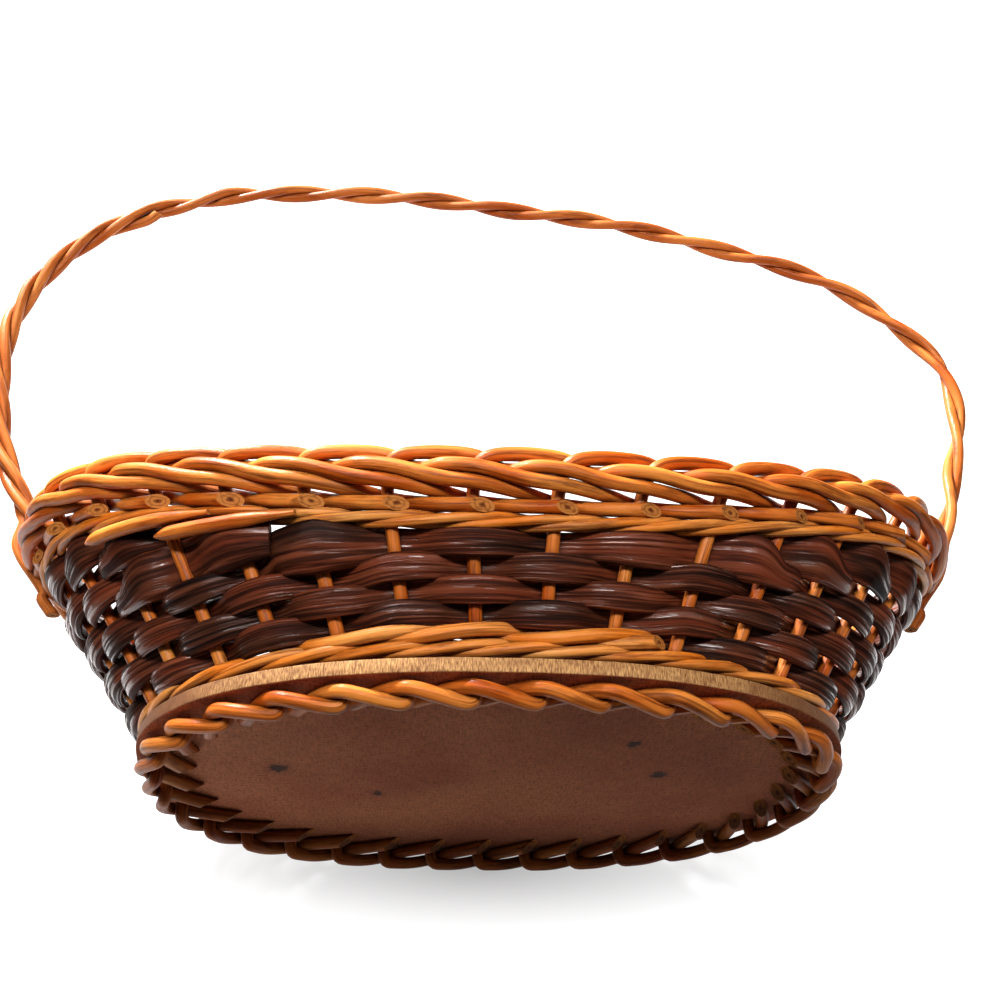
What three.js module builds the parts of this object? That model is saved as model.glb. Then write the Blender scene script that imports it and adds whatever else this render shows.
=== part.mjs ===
// An oval willow foraging basket: a thin board base, upright willow stakes with a plaited foot and a
// plaited rim, dark split strands woven between two bands of thin rods, and a roped carrying handle.
// Lengths are millimetres. +Z is up, +X runs along the basket towards its right end, and the origin is
// on the ground under the middle.
import * as THREE from "three";

// Driving dimensions
const boardLength = 300; // the thin oval board that is the floor
const boardWidth = 222;
const boardThickness = 5.8;
const holeInset = 9.3; // from the edge of the board to the ring of stake holes
const rimLength = 436; // measured on the line of the rim's top rods
const rimWidth = 266;
const stakeDiameter = 4.6;
const thinRodDiameter = 2.4; // the rods of the two waled bands
const strandThickness = 3.4; // the dark flat strands
const strandWidth = 8.5;
const handleRodDiameter = 5.2;
const gap = 0.3; // left between rods that lie on each other
const rimAir = 0.4; // the open line between the upper band and the rods of the rim
const boardPower = 2.4; // 2 is an ellipse, more is squarer
const rimPower = 2.1;
const archHeight = 260; // the top of the handle over the top rods of the rim at the ends
const twistLength = 84; // along the handle, for about one full turn of its rods

// Counts
const stakeCount = 33; // odd, so that a strand going round and round changes sides at every turn
const sideRows = 4; // rows of dark strand at the middle of a long side
const endRows = 9.4; // height of the dark weave at the ends, in rows
const waleStride = 3; // rods in a round of waling, which is also the stakes that each rod takes in one stroke
const ringsPerTurn = 8; // of the handle's twist

// Shares
const firstStakeShare = 0.0779; // how far round from the middle of the near side stake 0 stands
const endSpreadShare = 0.1; // rows lie this much further apart at the ends
const farSpreadShare = -0.065; // and are beaten closer on the far side
const liftPower = 2.48; // how sharply the rim climbs towards the ends
const liftEase = 0.88; // how little it levels off there
const topShift = 0.1; // stations that the top of each stake stands further round than its hole

// The thick rods. Each is one willow rod: its butt is plaited into the foot, it rises through the board
// and the wall, and its tip is plaited into the rim.
// Foot: stations back from the hole, then outward and up in rod steps. The rod turns sharply below its
// hole, passes outside its neighbour, and lies with its cut end against the board.
const footPathShares = [
  [2.12, -2.45, -0.55],
  [1.75, -1.25, -0.56],
  [1.35, 0.15, -0.6],
  [1.0, 1.25, -0.9],
  [0.62, 1.05, -1.34],
  [0.28, 0.4, -1.6],
  [0.04, 0.02, -1.57],
];

// Rim: stations on from the stake, then outward and up in rod steps. The rod lies over the top behind
// the next stake, comes out under that stake's rod, runs slanting past two more, goes behind the fourth
// and ends, cut, in front of the fifth.
const rimPathShares = [
  [0, 0, -0.95],
  [0.1, 0, -0.28],
  [0.42, -0.4, 0.12],
  [1.0, -1.14, 0],
  [1.24, -0.92, -0.98],
  [1.42, 0, -1.3],
  [1.62, 0.8, -1.12],
  [2.0, 1.08, -1.28],
  [2.55, 1.2, -2.15],
  [3.0, 1.12, -2.5],
  [3.5, 0.2, -2.98],
  [4.0, -1.1, -3.62],
  [4.5, 0.35, -4.14],
  [5.06, 1.16, -4.24],
];

// Waling: each thin rod runs behind one stake and in front of the next two, climbing as it goes.
// Stations on, outward in shares of how far it stands off, up in thin rod steps.
const walePathShares = [
  [0, -1, 0.6],
  [0.5, 0, -0.08],
  [1, 1, 0],
  [2, 1.12, 1.05],
  [2.5, 0, 1.18],
  [3, -1, 0.6],
];

const column = (table, place) => table.map((row) => row[place]);

// Sizes that follow from these
const rodStep = stakeDiameter + gap; // the pitch of thick rods lying side by side
const thinStep = thinRodDiameter + gap;
const rowPitch = strandWidth + gap;
const undersideHeight = -Math.min(...column(footPathShares, 2)) * rodStep + stakeDiameter / 2;
const boardTop = undersideHeight + boardThickness;
const waleLow = Math.min(...column(walePathShares, 2)) * thinStep;
const waleHeight = Math.max(...column(walePathShares, 2)) * thinStep - waleLow + thinStep; // one round
const rimDepth = -Math.min(...column(rimPathShares, 2)) * rodStep + stakeDiameter / 2;
const rimInside = -Math.min(...column(rimPathShares, 1)) * rodStep + stakeDiameter / 2;
const rimOutside = Math.max(...column(rimPathShares, 1)) * rodStep + stakeDiameter / 2;
const topOfWall = waleHeight + rimAir + rimDepth;
const aboveSillAtEnd = waleHeight + endRows * rowPitch * (1 + endSpreadShare) + topOfWall;

// The wall leans out most at the ends, where the outer rods of the lowest band would dip into the board.
// The sill is the height up the stakes that keeps them clear of it.
const waleOutward = (stakeDiameter + thinRodDiameter) / 2 + gap;
const waleReach = Math.max(...column(walePathShares, 1)) * waleOutward;
const endLean = Math.asin(((rimLength - boardLength) / 2 + holeInset) / aboveSillAtEnd);
const clearOfBoard = thinRodDiameter / 2 + gap;
const sill = (clearOfBoard + waleReach * Math.sin(endLean)) / Math.cos(endLean) - clearOfBoard;
const wallAtSide = sill + 2 * waleHeight + sideRows * rowPitch + topOfWall;
const wallAtEnd = sill + aboveSillAtEnd;

// Colours
const honeyWillow = 0xb8642a;
const paleWillow = 0xc87a34;
const darkStrand = 0x33201c;
const boardBrown = 0x6b4636;

// A superellipse walked at an even pace: share 0 is the middle of the near side, and shares grow towards +X.
function evenOval(length, width, power) {
  const samples = 960;
  const points = [];
  for (let i = 0; i <= samples; i++) {
    const angle = (i / samples - 0.25) * 2 * Math.PI;
    const c = Math.cos(angle);
    const s = Math.sin(angle);
    const x = (length / 2) * Math.sign(c) * Math.abs(c) ** (2 / power);
    const y = (width / 2) * Math.sign(s) * Math.abs(s) ** (2 / power);
    points.push(new THREE.Vector2(x, y));
  }
  const walked = [0];
  for (let i = 1; i <= samples; i++) walked.push(walked[i - 1] + points[i].distanceTo(points[i - 1]));
  const around = walked[samples];
  return (share) => {
    const target = (share - Math.floor(share)) * around;
    let low = 0;
    let high = samples;
    while (high - low > 1) {
      const middle = (low + high) >> 1;
      if (walked[middle] > target) high = middle;
      else low = middle;
    }
    const part = (target - walked[low]) / (walked[high] - walked[low]);
    return points[low].clone().lerp(points[high], part);
  };
}

const boardOval = evenOval(boardLength, boardWidth, boardPower);
const holeOval = evenOval(boardLength - 2 * holeInset, boardWidth - 2 * holeInset, boardPower);
const rimOval = evenOval(rimLength, rimWidth, rimPower);

// Stations count stakes: station 0 is the stake in front, right of the middle, where the dark weave starts.
const shareOf = (station) => station / stakeCount + firstStakeShare;
const rightEnd = (0.25 - firstStakeShare) * stakeCount;
const backMiddle = (0.5 - firstStakeShare) * stakeCount;
const leftEnd = (0.75 - firstStakeShare) * stakeCount;

// The place on the rim of a stake's top.
const rimPlace = (share) => rimOval(share + topShift / stakeCount);

function headingOn(oval, share) {
  const step = 0.5 / stakeCount;
  return oval(share + step).sub(oval(share - step));
}

// The slanting length of the wall, from the top of the board to the top rods of the rim. It is longest a
// quarter and three quarters of the way round, at the ends.
function wallLength(station) {
  const towardsEnd = Math.abs(Math.sin(2 * Math.PI * (shareOf(station) + topShift / stakeCount)));
  const lift = 1 - (1 - towardsEnd ** liftPower) ** liftEase;
  return wallAtSide + (wallAtEnd - wallAtSide) * lift;
}

// A point on the wall: rise is measured up the slant from the board, outward is square to the wall.
function onWall(station, rise, outward) {
  const share = shareOf(station);
  const low = holeOval(share);
  const lean = rimPlace(share).sub(low);
  const length = wallLength(station);
  const climb = Math.sqrt(length * length - lean.lengthSq());
  const up = new THREE.Vector3(lean.x, lean.y, climb).divideScalar(length);
  const part = THREE.MathUtils.clamp(rise / length, 0, 1);
  const heading = headingOn(holeOval, share).lerp(headingOn(rimPlace, share), part);
  const out = new THREE.Vector3(heading.x, heading.y, 0).cross(up).normalize();
  const at = new THREE.Vector3(low.x, low.y, boardTop).addScaledVector(up, rise);
  return { at: at.addScaledVector(out, outward), out };
}

// A point of the foot: outward from the ring of holes, at a height over the ground.
function onFoot(station, outward, height) {
  const share = shareOf(station);
  const low = holeOval(share);
  const heading = headingOn(holeOval, share).normalize();
  return new THREE.Vector3(low.x + heading.y * outward, low.y - heading.x * outward, height);
}

// Rows of a table between its stations, joined smoothly.
function between(table, station) {
  let i = 0;
  while (i < table.length - 2 && station > table[i + 1][0]) i++;
  const [from, a] = table[i];
  const [to, b] = table[i + 1];
  return a + (b - a) * THREE.MathUtils.smoothstep(station, from, to);
}

// A closed tube along points. A round rod carries its section along without twist; a flat strand gives
// the outward direction at each point and keeps its broad side to it, and its width can change.
function tube(points, section, outs, widths) {
  const sides = section.length;
  const positions = [];
  let sideways = null;
  points.forEach((point, i) => {
    const before = points[Math.max(i - 1, 0)];
    const after = points[Math.min(i + 1, points.length - 1)];
    const forward = after.clone().sub(before).normalize();
    let out;
    if (outs) out = outs[i].clone();
    else if (sideways) out = sideways.clone();
    else out = Math.abs(forward.z) > Math.SQRT1_2 ? new THREE.Vector3(1, 0, 0) : new THREE.Vector3(0, 0, 1);
    out.addScaledVector(forward, -out.dot(forward)).normalize();
    sideways = out;
    const across = forward.clone().cross(out);
    const width = widths ? widths[i] : 1;
    for (const [o, a] of section) {
      positions.push(point.clone().addScaledVector(out, o).addScaledVector(across, a * width));
    }
  });
  const index = [];
  for (let i = 0; i < points.length - 1; i++) {
    for (let k = 0; k < sides; k++) {
      const a = i * sides + k;
      const b = i * sides + ((k + 1) % sides);
      index.push(a, b, a + sides, b, b + sides, a + sides);
    }
  }
  const last = (points.length - 1) * sides;
  for (let k = 1; k < sides - 1; k++) {
    index.push(0, k + 1, k);
    index.push(last, last + k, last + k + 1);
  }
  const geometry = new THREE.BufferGeometry().setFromPoints(positions);
  geometry.setIndex(index);
  geometry.computeVertexNormals();
  return geometry;
}

function roundSection(diameter, sides) {
  return Array.from({ length: sides }, (_, k) => {
    const angle = (2 * Math.PI * k) / sides;
    return [(diameter / 2) * Math.cos(angle), (diameter / 2) * Math.sin(angle)];
  });
}

function named(name, geometry, colour) {
  const material = new THREE.MeshStandardMaterial({ color: colour, roughness: 0.45, metalness: 0 });
  const mesh = new THREE.Mesh(geometry, material);
  mesh.name = name;
  return mesh;
}

function stakePoints(station) {
  const points = [];
  for (const [back, outward, up] of footPathShares) {
    points.push(onFoot(station - back, outward * rodStep, undersideHeight + up * rodStep));
  }
  points.push(onFoot(station, 0, undersideHeight - stakeDiameter / 2));
  points.push(onFoot(station, 0, boardTop));
  for (const [on, outward, up] of rimPathShares) {
    points.push(onWall(station + on, wallLength(station + on) + up * rodStep, outward * rodStep).at);
  }
  return points;
}

// Waling from one station to another. The rod passes behind the stake at phase and every third from it.
function waleAt(on) {
  let i = 1;
  while (i < walePathShares.length - 1 && on > walePathShares[i][0]) i++;
  const [from, outward, up] = walePathShares[i - 1];
  const [to, nextOutward, nextUp] = walePathShares[i];
  const part = (on - from) / (to - from);
  return [outward + (nextOutward - outward) * part, up + (nextUp - up) * part];
}

function walePoints(phase, first, last, baseOf) {
  const stations = [first];
  for (let start = phase; start < last; start += waleStride) {
    for (const [on] of walePathShares.slice(0, -1)) {
      if (start + on > first && start + on < last) stations.push(start + on);
    }
  }
  stations.push(last);
  return stations.map((station) => {
    const [outward, up] = waleAt(THREE.MathUtils.euclideanModulo(station - phase, waleStride));
    const rise = baseOf(station) + clearOfBoard - waleLow + up * thinStep;
    return onWall(station, rise, outward * waleOutward).at;
  });
}

const lowerBand = () => sill;
const secondLayer = () => sill + waleHeight;
const upperBand = (station) => wallLength(station) - topOfWall;

function waleMesh(name, phase, first, last, baseOf) {
  const points = walePoints(phase, first, last, baseOf);
  return named(name, tube(points, roundSection(thinRodDiameter, 4)), paleWillow);
}

// The dark weave. One strand after another goes round and round, behind one stake and in front of the
// next, so a place on it is counted in stakes from the start of the lowest one. Short strands are packed
// in above them at the ends, where the wall is higher.
const strandOutward = (stakeDiameter + strandThickness) / 2 + 2 * gap;
const crossingShare = 0.27; // half of the straight stretch past a stake, in stations
const tailShare = 0.3; // how far a strand's end reaches past the stake that hides it
const squeezeShare = 0.45; // the least room, in rows, that a short strand is pressed into
const broadShare = 1.4; // the most room, in rows, that a strand with nothing above it spreads into
const weaveEnd = 159.4; // the cut end of the last strand, in front of the stake at station 27

// The second layer of the lower band lifts the rows from its start to its end, and there they step up
// to lie on the start of the lowest strand. [station, rows up]
const layerStart = 27;
const layerEnd = 32.3;
const climbShares = [
  [0, 0],
  [layerStart - 1.2, 0],
  [layerStart + 0.4, (0.55 * waleHeight) / rowPitch],
  [layerStart + 1.3, (0.6 * waleHeight) / rowPitch],
  [layerStart + 2, waleHeight / rowPitch],
  [layerEnd, waleHeight / rowPitch],
  [stakeCount, 1],
];
// How far apart the rows are: [station, share of the row pitch]
const rowSpreadShares = [
  [0, 1],
  [rightEnd, 1 + endSpreadShare],
  [backMiddle, 1 + farSpreadShare],
  [leftEnd, 1 + endSpreadShare],
  [layerStart, 1],
  [stakeCount, 1],
];

// Where a row lies on the wall, how far the next one is above it, and its room below the upper band.
function rowPlace(count) {
  const station = THREE.MathUtils.euclideanModulo(count, stakeCount);
  const row = Math.floor(count / stakeCount);
  const pitch = rowPitch * between(rowSpreadShares, station);
  const low = sill + waleHeight + between(climbShares, station) * rowPitch + row * pitch;
  return { low, pitch, room: wallLength(count) - topOfWall - low };
}

// The first and last count of a short strand, which is as long as there is room for it.
function endReach(row, end) {
  const hasRoom = (count) => rowPlace(count).room >= squeezeShare * rowPitch;
  const middle = 2 * Math.round((row * stakeCount + end) / 2);
  let first = middle;
  let last = middle;
  while (hasRoom(first - 2 - tailShare)) first -= 2;
  while (hasRoom(last + 2 + tailShare)) last += 2;
  return [first - tailShare, last + tailShare];
}

const endRowNumbers = [5, 6, 7, 8];
const rightReaches = endRowNumbers.map((row) => endReach(row, rightEnd));
const leftReaches = endRowNumbers.map((row) => endReach(row, leftEnd));
const allReaches = [[-tailShare, weaveEnd], ...rightReaches, ...leftReaches];

// 1 where another row lies above this place, and 0 a little way past the end of that row.
function rowAbove(count) {
  const above = count + stakeCount;
  const shares = allReaches.map(([first, last]) => {
    const past = Math.max(first - above, above - last);
    return 1 - THREE.MathUtils.smoothstep(past, 0.6, 1.6);
  });
  return Math.max(...shares);
}

// A row is pressed flatter where the upper band leaves it less room, and where no row lies above it, it
// spreads up to the band.
function strandHeight(count) {
  const { low, pitch, room } = rowPlace(count);
  const broad = Math.min(room, broadShare * pitch);
  const height = THREE.MathUtils.lerp(broad, Math.min(room, pitch), rowAbove(count));
  return { rise: low + height / 2, height };
}

// Behind the stake at an even count, in front of it at an odd one.
const strandSide = (count) => (Math.round(count) % 2 === 0 ? -1 : 1);

function strandMesh(name, first, last) {
  const counts = [first];
  for (let count = Math.round(first); count <= Math.round(last); count++) {
    for (const place of [count - crossingShare, count + crossingShare]) {
      if (place > first && place < last) counts.push(place);
    }
  }
  counts.push(last);
  const heights = counts.map(strandHeight);
  const places = counts.map((count, i) => onWall(count, heights[i].rise, strandSide(count) * strandOutward));
  const widths = heights.map(({ height }) => (height - gap) / strandWidth);
  const thick = strandThickness / 2;
  const wide = strandWidth / 2;
  const shoulder = 0.56 * wide;
  const section = [
    [0, wide],
    [-thick, shoulder],
    [-thick, -shoulder],
    [0, -wide],
    [thick, -shoulder],
    [thick, shoulder],
  ];
  return named(name, tube(places.map((p) => p.at), section, places.map((p) => p.out), widths), darkStrand);
}

// The board: an oval plate with a hole for each stake. One large triangle stands free in the middle of
// each face, clear of the holes.
const freeTriangleShares = [
  [-0.3, -0.27],
  [0, 0.33],
  [0.3, -0.27],
];

function boardMesh() {
  const holeSides = 6;
  const holeRadius = (stakeDiameter / 2 + gap) / Math.cos(Math.PI / holeSides);
  const edge = [];
  for (let i = 0; i < 2 * stakeCount; i++) edge.push(boardOval(i / (2 * stakeCount)));
  const holes = [];
  for (let i = 0; i < stakeCount; i++) {
    const centre = holeOval(shareOf(i));
    const ring = [];
    for (let k = 0; k < holeSides; k++) {
      const angle = (-2 * Math.PI * k) / holeSides;
      ring.push(new THREE.Vector2(Math.cos(angle), Math.sin(angle)).multiplyScalar(holeRadius).add(centre));
    }
    holes.push(ring);
  }
  const middle = freeTriangleShares.map(([x, y]) => new THREE.Vector2(x * boardLength, y * boardWidth));
  const flat = [...edge, ...holes.flat(), ...middle];
  const faces = THREE.ShapeUtils.triangulateShape(edge, [...holes, middle]);
  const inMiddle = flat.length - middle.length;
  faces.push([inMiddle, inMiddle + 2, inMiddle + 1]);
  const positions = [];
  for (const height of [undersideHeight, boardTop]) {
    for (const p of flat) positions.push(new THREE.Vector3(p.x, p.y, height));
  }
  const index = [];
  for (const [a, b, c] of faces) {
    index.push(a + flat.length, b + flat.length, c + flat.length);
    index.push(a, c, b);
  }
  let start = 0;
  for (const ring of [edge, ...holes]) {
    for (let k = 0; k < ring.length; k++) {
      const a = start + k;
      const b = start + ((k + 1) % ring.length);
      index.push(a, b, b + flat.length, a, b + flat.length, a + flat.length);
    }
    start += ring.length;
  }
  const geometry = new THREE.BufferGeometry().setFromPoints(positions);
  geometry.setIndex(index);
  geometry.computeVertexNormals();
  return named("base_board", geometry, boardBrown);
}

// The handle: rods twisted round each other along an arch over the middle of the basket. Three go up
// from the left end; one of them stops at a splice and two go on to the right end.
// The arch's middle line, as shares of half the rim's length and of the arch's height over the rim.
const archShares = [
  [-1.037, 0.07],
  [-1.087, 0.143],
  [-1.142, 0.235],
  [-1.181, 0.347],
  [-1.206, 0.458],
  [-1.209, 0.566],
  [-1.174, 0.685],
  [-1.083, 0.812],
  [-0.936, 0.91],
  [-0.775, 0.968],
  [-0.573, 0.993],
  [-0.362, 1.0],
  [-0.161, 0.991],
  [0.069, 0.964],
  [0.317, 0.937],
  [0.484, 0.904],
  [0.651, 0.858],
  [0.812, 0.812],
  [0.963, 0.745],
  [1.101, 0.627],
  [1.179, 0.531],
  [1.194, 0.439],
  [1.177, 0.335],
  [1.138, 0.239],
  [1.108, 0.15],
  [1.06, 0.07],
];
const spliceShare = 0.29; // where the third rod stops, along the arch
const spliceTailShare = 0.025; // its cut end stands off the others over this much
const settleShare = 0.09; // and the other two settle opposite each other over this much

// The stations whose tops are the two ends of the rim.
const rightTop = rightEnd - topShift;
const leftTop = leftEnd - topShift;
const rimEndHeight = onWall(leftTop, wallLength(leftTop), 0).at.z;
const arch = new THREE.CatmullRomCurve3(
  archShares.map(([x, z]) => new THREE.Vector3((x * rimLength) / 2, 0, rimEndHeight + z * archHeight)),
  false,
  "centripetal",
);
const handleTurns = Math.round(arch.getLength() / twistLength);
const handleStep = handleRodDiameter + gap;

// Angle round the middle line, and distance from it, of each of the three rods.
function twistAt(rod, along) {
  const settled = THREE.MathUtils.smoothstep(along, spliceShare, spliceShare + settleShare);
  const tail = THREE.MathUtils.smoothstep(along, spliceShare - spliceTailShare, spliceShare);
  const angles = [0, (Math.PI * (2 + settled)) / 3, (Math.PI * 4) / 3];
  const radius = THREE.MathUtils.lerp(handleStep / Math.sqrt(3), handleStep / 2, settled);
  const standOff = rod === 2 ? (tail * handleStep) / 2 : 0;
  return [2 * Math.PI * handleTurns * along + angles[rod], radius + standOff];
}

function twistPoints(rod, last) {
  const steps = Math.ceil(handleTurns * ringsPerTurn * last);
  const points = [];
  for (let i = 0; i <= steps; i++) {
    const along = (last * i) / steps;
    const heading = arch.getTangentAt(along);
    const outward = new THREE.Vector3(-heading.z, 0, heading.x);
    const [angle, radius] = twistAt(rod, along);
    const point = arch.getPointAt(along).addScaledVector(outward, radius * Math.cos(angle));
    point.y += radius * Math.sin(angle);
    points.push(point);
  }
  return points;
}

// The ends of the handle rods part at the rim. They lie on its outer or inner side and run on down the wall.
const weaveLie = strandOutward + strandThickness / 2 + handleStep / 2 + gap / 2;
const outsideLie = rimOutside + handleStep / 2 + gap / 2;
const insideLie = rimInside + handleStep / 2 + gap / 2;
const belowRim = rimDepth + rimAir;
const outsideEnd = [
  [0.8 * outsideLie, 1.9 * handleStep],
  [outsideLie, 0.45 * handleStep],
  [outsideLie, -rimDepth],
  [weaveLie, -belowRim],
  [weaveLie, -belowRim - waleHeight - handleStep],
];
const insideEnd = [
  [-0.45 * insideLie, 1.6 * handleStep],
  [-0.87 * insideLie, 0.88 * handleStep],
  [-insideLie, 0],
  [-insideLie, -rimDepth],
  [-weaveLie, -belowRim],
  [-weaveLie, -2 * belowRim],
];

function endPoints(end, rows, sideways) {
  return rows.map(([outward, up]) => {
    const { at } = onWall(end, wallLength(end) + up, outward);
    at.y += sideways;
    return at;
  });
}

function handleMesh(name, points) {
  return named(name, tube(points, roundSection(handleRodDiameter, 5)), honeyWillow);
}

// Two more thick rods were pushed in below the rim, front left. They lie slanting, from the front of the
// dark weave up to the upper band: [station, share of the rim's depth down] to [station, share].
const finishingPathShares = [
  [[24.7, 1.5], [26.75, 1.14]],
  [[25.9, 1.58], [27.85, 1.12]],
];
const lieOnWeave = strandOutward + strandThickness / 2 + gap + stakeDiameter / 2;
const lieOnBand = waleOutward + thinRodDiameter / 2 + stakeDiameter / 2;
const finishingStep = 0.25; // stations between the rings of such a rod

function finishingMesh(name, [[first, firstDown], [last, lastDown]]) {
  const points = [];
  const steps = Math.round((last - first) / finishingStep);
  for (let i = 0; i <= steps; i++) {
    const part = i / steps;
    const station = THREE.MathUtils.lerp(first, last, part);
    const down = THREE.MathUtils.lerp(firstDown, lastDown, part);
    const outward = THREE.MathUtils.lerp(lieOnWeave, lieOnBand, part);
    points.push(onWall(station, wallLength(station) - down * rimDepth, outward).at);
  }
  return named(name, tube(points, roundSection(stakeDiameter, 5)), honeyWillow);
}

const seamShare = 0.02; // between the ends of two rods or strands that meet, in stations
const basket = new THREE.Group();
basket.add(boardMesh());
for (let i = 0; i < stakeCount; i++) {
  const name = "stake_" + String(i + 1).padStart(2, "0");
  basket.add(named(name, tube(stakePoints(i), roundSection(stakeDiameter, 5)), honeyWillow));
}
for (let i = 0; i < waleStride; i++) {
  const last = i + stakeCount - seamShare;
  basket.add(waleMesh("lower_band_rod_" + (i + 1), i, i, last, lowerBand));
  basket.add(waleMesh("upper_band_rod_" + (i + 1), i, i, last, upperBand));
}
for (let i = 0; i < 2; i++) {
  const phase = layerStart + i;
  basket.add(waleMesh("lower_band_second_rod_" + (i + 1), phase, phase, layerEnd, secondLayer));
}
const strandStarts = [-tailShare, 32, 66, 98, 130];
strandStarts.forEach((start, i) => {
  const end = i + 1 < strandStarts.length ? strandStarts[i + 1] - seamShare : weaveEnd;
  basket.add(strandMesh("dark_strand_" + (i + 1), start, end));
});
rightReaches.forEach((reach, i) => basket.add(strandMesh("right_end_strand_" + (i + 1), ...reach)));
leftReaches.forEach((reach, i) => basket.add(strandMesh("left_end_strand_" + (i + 1), ...reach)));
basket.add(
  handleMesh("handle_strand_1", [
    ...endPoints(leftTop, outsideEnd, 0).reverse(),
    ...twistPoints(0, 1),
    ...endPoints(rightTop, outsideEnd, 0),
  ]),
  handleMesh("handle_strand_2", [
    ...endPoints(leftTop, insideEnd, handleStep / 2).reverse(),
    ...twistPoints(1, 1),
    ...endPoints(rightTop, insideEnd, 0),
  ]),
  handleMesh("handle_strand_3", [
    ...endPoints(leftTop, insideEnd, -handleStep / 2).reverse(),
    ...twistPoints(2, spliceShare),
  ]),
);
finishingPathShares.forEach((path, i) => basket.add(finishingMesh("rim_finishing_rod_" + (i + 1), path)));

// Stand it on the ground, in the middle.
const box = new THREE.Box3().setFromObject(basket);
const centre = box.getCenter(new THREE.Vector3());
basket.position.set(-centre.x, -centre.y, -box.min.z);

export default basket;
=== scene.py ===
# %% [markdown]
# # An oval willow foraging basket, rod by rod
#
# The basket has a thin board for a floor. Thirty-three willow stakes pass through holes near its edge.
# Each stake is one rod: its butt is plaited into a foot under the board, it rises through the wall, and
# its tip is plaited into the rim. Thin rods are waled round the stakes at the bottom and the top of the
# wall, flat dark strands are woven between them, and a handle of twisted rods stands over the middle.
#
# Almost everything here is a rod that follows a path. So the lesson works out paths first, in plain
# numbers, and then one Geometry Nodes tree turns any path into a rod with cut ends.

import math
import random
from functools import partial

import bmesh
import bpy
import numpy as np
from mathutils import Matrix, Vector


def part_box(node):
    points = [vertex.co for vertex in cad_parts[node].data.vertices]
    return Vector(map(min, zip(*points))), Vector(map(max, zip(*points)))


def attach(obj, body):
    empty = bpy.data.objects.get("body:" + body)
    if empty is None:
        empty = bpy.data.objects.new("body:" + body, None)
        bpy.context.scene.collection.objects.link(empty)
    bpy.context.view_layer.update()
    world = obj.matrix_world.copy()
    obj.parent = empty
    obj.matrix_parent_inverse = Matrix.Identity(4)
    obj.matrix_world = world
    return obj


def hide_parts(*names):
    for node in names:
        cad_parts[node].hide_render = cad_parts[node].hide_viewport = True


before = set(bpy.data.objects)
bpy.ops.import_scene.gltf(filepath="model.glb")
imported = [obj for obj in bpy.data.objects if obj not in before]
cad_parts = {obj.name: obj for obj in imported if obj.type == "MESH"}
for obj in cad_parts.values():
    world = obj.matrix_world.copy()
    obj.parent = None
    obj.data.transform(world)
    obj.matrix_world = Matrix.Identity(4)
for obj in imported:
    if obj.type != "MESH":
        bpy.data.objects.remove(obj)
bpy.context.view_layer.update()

# %% [markdown]
# ## Sizes
#
# The paths repeat the sizes of the solid model, in millimetres, so that every rod lies where its solid
# lies. The solids keep a small gap between rods that really press on each other. Here the rods are as
# full as the real ones, and some of them lie a little closer together.

# %% Sizes of the basket
BOARD_LENGTH, BOARD_WIDTH, BOARD_THICKNESS = 300, 222, 5.8
HOLE_INSET = 9.3
RIM_LENGTH, RIM_WIDTH = 436, 266
STAKE, THIN_ROD, HANDLE_ROD = 4.6, 2.4, 5.2
STRAND_THICKNESS, STRAND_WIDTH = 3.4, 8.5
GAP = 0.3
RIM_AIR = 0.4
BOARD_POWER, RIM_POWER = 2.4, 2.1
STAKES = 33
SIDE_ROWS, END_ROWS = 4, 9.4
FIRST_STAKE_SHARE = 0.0779
END_SPREAD, FAR_SPREAD = 0.1, -0.065
LIFT_POWER, LIFT_EASE = 2.48, 0.88
TOP_SHIFT = 0.1

rod_step = STAKE + GAP
thin_step = THIN_ROD + GAP
row_pitch = STRAND_WIDTH + GAP
print("a row of the dark weave takes", row_pitch, "mm of the wall")

# %% [markdown]
# ## How a rod runs
#
# A basket maker thinks in strokes: behind one stake, in front of the next two. These tables say the same
# in numbers. A row gives how many stakes further on, how far out and how far up, in rod diameters.

# %% Tables of strokes
FOOT_PATH = np.array([
    [2.12, -2.45, -0.55], [1.75, -1.25, -0.56], [1.35, 0.15, -0.6], [1.0, 1.25, -0.9],
    [0.62, 1.05, -1.34], [0.28, 0.4, -1.6], [0.04, 0.02, -1.57],
])
RIM_PATH = np.array([
    [0, 0, -0.95], [0.1, 0, -0.28], [0.42, -0.4, 0.12], [1.0, -1.14, 0], [1.24, -0.92, -0.98],
    [1.42, 0, -1.3], [1.62, 0.8, -1.12], [2.0, 1.08, -1.28], [2.55, 1.2, -2.15], [3.0, 1.12, -2.5],
    [3.5, 0.2, -2.98], [4.0, -1.1, -3.62], [4.5, 0.35, -4.14], [5.06, 1.16, -4.24],
])
WALE_PATH = np.array([
    [0, -1, 0.6], [0.5, 0, -0.08], [1, 1, 0], [2, 1.12, 1.05], [2.5, 0, 1.18], [3, -1, 0.6],
])

underside = -FOOT_PATH[:, 2].min() * rod_step + STAKE / 2
board_top = underside + BOARD_THICKNESS
wale_low = WALE_PATH[:, 2].min() * thin_step
wale_height = WALE_PATH[:, 2].max() * thin_step - wale_low + thin_step
rim_depth = -RIM_PATH[:, 2].min() * rod_step + STAKE / 2
rim_inside = -RIM_PATH[:, 1].min() * rod_step + STAKE / 2
rim_outside = RIM_PATH[:, 1].max() * rod_step + STAKE / 2
top_of_wall = wale_height + RIM_AIR + rim_depth
above_sill_at_end = wale_height + END_ROWS * row_pitch * (1 + END_SPREAD) + top_of_wall
wale_outward = (STAKE + THIN_ROD) / 2 + GAP
end_lean = math.asin(((RIM_LENGTH - BOARD_LENGTH) / 2 + HOLE_INSET) / above_sill_at_end)
clear_of_board = THIN_ROD / 2 + GAP
sill = clear_of_board + WALE_PATH[:, 1].max() * wale_outward * math.sin(end_lean)
sill = sill / math.cos(end_lean) - clear_of_board
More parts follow.
